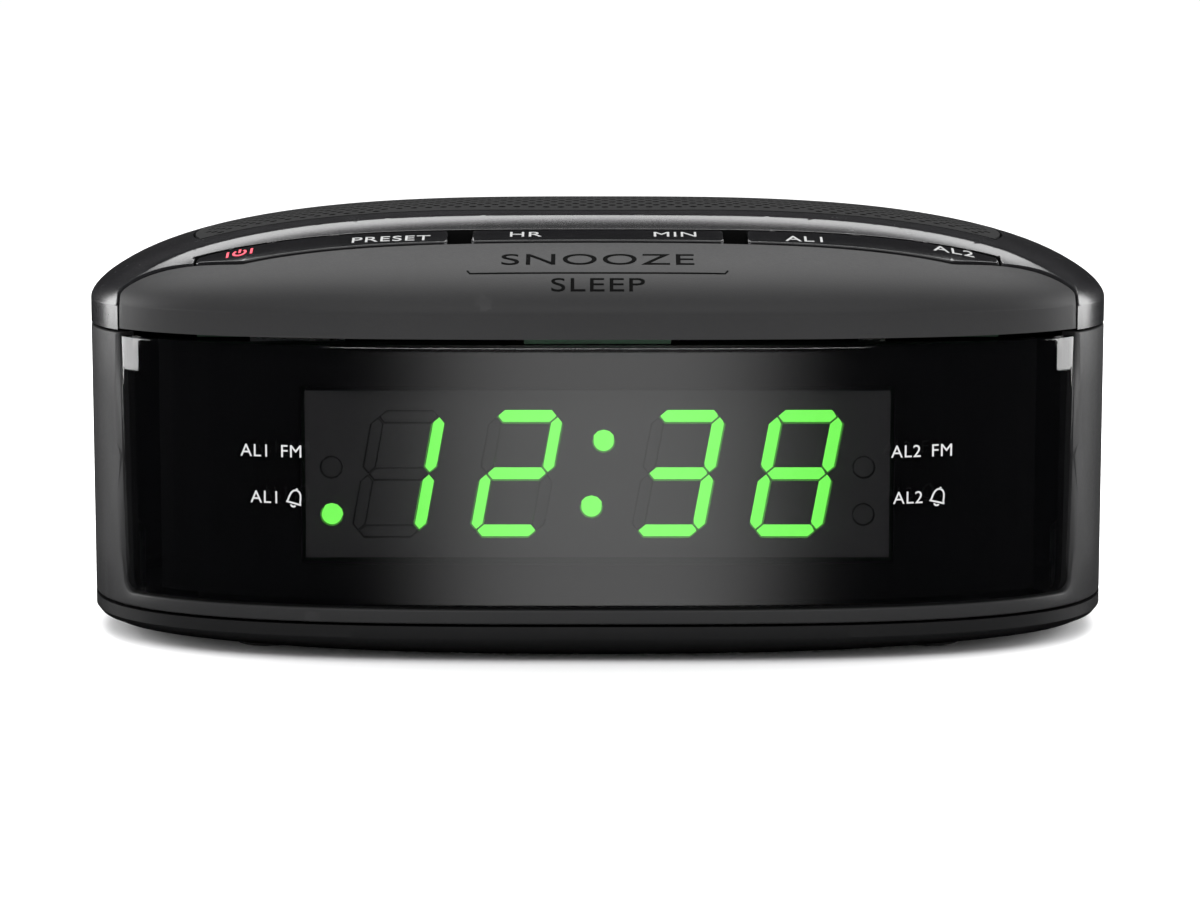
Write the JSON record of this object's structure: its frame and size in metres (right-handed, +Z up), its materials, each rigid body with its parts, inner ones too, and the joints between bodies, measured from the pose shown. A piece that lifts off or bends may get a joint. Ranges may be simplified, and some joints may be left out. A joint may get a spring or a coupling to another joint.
{
  "type": "clock radio",
  "caption": "Compact clock radio: curved cabinet, smoked lens over a slanted LED clock display, snooze bar, rocker keys and an upward-facing speaker grille.",
  "frame": {"origin": "on the surface that the feet rest on, under the middle of the cabinet's outline", "axes": "+X to the right seen from the front, +Y towards the back, +Z up"},
  "size_m": [0.132, 0.068, 0.0549],
  "materials": {
    "housing_matte": "fine textured dark grey moulded ABS",
    "base_matte": "fine textured black moulded ABS",
    "bezel_gloss": "polished piano black",
    "lens_smoked": "polished smoked acrylic",
    "snooze_matte": "fine textured dark grey, satin",
    "grille_matte": "perforated dark grey, matte",
    "key_gloss": "polished black with printed legends",
    "rubber_black": "soft matte rubber",
    "lamp_green": "diffused green LED light pipes",
    "display_black": "matte black display body",
    "board_green": "solder mask green",
    "steel_plated": "zinc plated",
    "copper_wire": "taped enamelled copper winding",
    "paper_cone": "pressed paper, matt",
    "ferrite_dark": "dull ferrite",
    "flex_grey": "grey PVC ribbon",
    "sleeve_blue": "shrink sleeve",
    "chip_black": "moulded epoxy"
  },
  "bodies": {
    "cabinet": {"housing_shell": "housing_matte", "mains_cord_gland": "rubber_black", "antenna_gland": "rubber_black", "base_cover": "base_matte", "rubber_foot_1": "rubber_black", "rubber_foot_2": "rubber_black", "rubber_foot_3": "rubber_black", "rubber_foot_4": "rubber_black", "case_screw_1": "steel_plated", "case_screw_2": "steel_plated", "case_screw_3": "steel_plated", "case_screw_4": "steel_plated", "battery_link_contact": "steel_plated", "battery_spring_contact": "steel_plated", "battery_button_contact": "steel_plated", "front_lens": "lens_smoked", "display_carrier": "base_matte", "display_reflector": "display_black", "digit_1": "lamp_green", "digit_2": "lamp_green", "digit_3": "lamp_green", "digit_4": "lamp_green", "colon_dots": "lamp_green", "alarm_dots_left": "lamp_green", "alarm_dots_right": "lamp_green", "display_board": "board_green", "top_bezel": "bezel_gloss", "speaker_grille": "grille_matte", "key_board": "board_green", "key_board_screw_1": "steel_plated", "key_board_screw_2": "steel_plated", "key_switch_1": "chip_black", "key_switch_2": "chip_black", "key_switch_3": "chip_black", "key_switch_4": "chip_black", "key_switch_5": "chip_black", "key_switch_6": "chip_black", "snooze_switch": "chip_black", "speaker_frame": "steel_plated", "speaker_magnet": "ferrite_dark", "main_board": "board_green", "main_board_screw_1": "steel_plated", "main_board_screw_2": "steel_plated", "tuner_can": "steel_plated", "clock_chip": "chip_black", "amplifier_chip": "chip_black", "filter_capacitor_1": "sleeve_blue", "filter_capacitor_2": "sleeve_blue", "display_ribbon": "flex_grey", "key_ribbon": "flex_grey", "transformer_core": "steel_plated", "transformer_coil": "copper_wire", "transformer_bracket": "steel_plated"},
    "snooze_bar": {"snooze_bar": "snooze_matte"},
    "power_preset_key": {"power_preset_key": "key_gloss"},
    "hour_minute_key": {"hour_minute_key": "key_gloss"},
    "alarm_key": {"alarm_key": "key_gloss"},
    "battery_door": {"battery_door": "base_matte"},
    "speaker_cone": {"speaker_cone": "paper_cone"}
  },
  "joints": [
    {"name": "snooze_press", "type": "hinge", "parent": "cabinet", "child": "snooze_bar", "pos_m": [0, -0.0245, 0.0463], "axis": [1, 0, 0], "range_deg": [0, 3.5], "stiffness_Nm_per_rad": 0.15, "springref_deg": -1.72},
    {"name": "power_preset_key_rock", "type": "hinge", "parent": "cabinet", "child": "power_preset_key", "pos_m": [-0.0345, -0.01945, 0.0491], "axis": [0, 1, 0], "range_deg": [-1.6, 1.6], "stiffness_Nm_per_rad": 0.05},
    {"name": "hour_minute_key_rock", "type": "hinge", "parent": "cabinet", "child": "hour_minute_key", "pos_m": [0, -0.01945, 0.0496], "axis": [0, 1, 0], "range_deg": [-1.6, 1.6], "stiffness_Nm_per_rad": 0.05},
    {"name": "alarm_key_rock", "type": "hinge", "parent": "cabinet", "child": "alarm_key", "pos_m": [0.0345, -0.01945, 0.0491], "axis": [0, 1, 0], "range_deg": [-1.6, 1.6], "stiffness_Nm_per_rad": 0.05},
    {"name": "battery_door_slide", "type": "slide", "parent": "cabinet", "child": "battery_door", "axis": [0, 1, 0], "range_m": [0, 0.006]},
    {"name": "speaker_cone_travel", "type": "slide", "parent": "cabinet", "child": "speaker_cone", "axis": [0, 0, 1], "range_m": [-0.0003, 0.0003], "stiffness_N_per_m": 200}
  ]
}
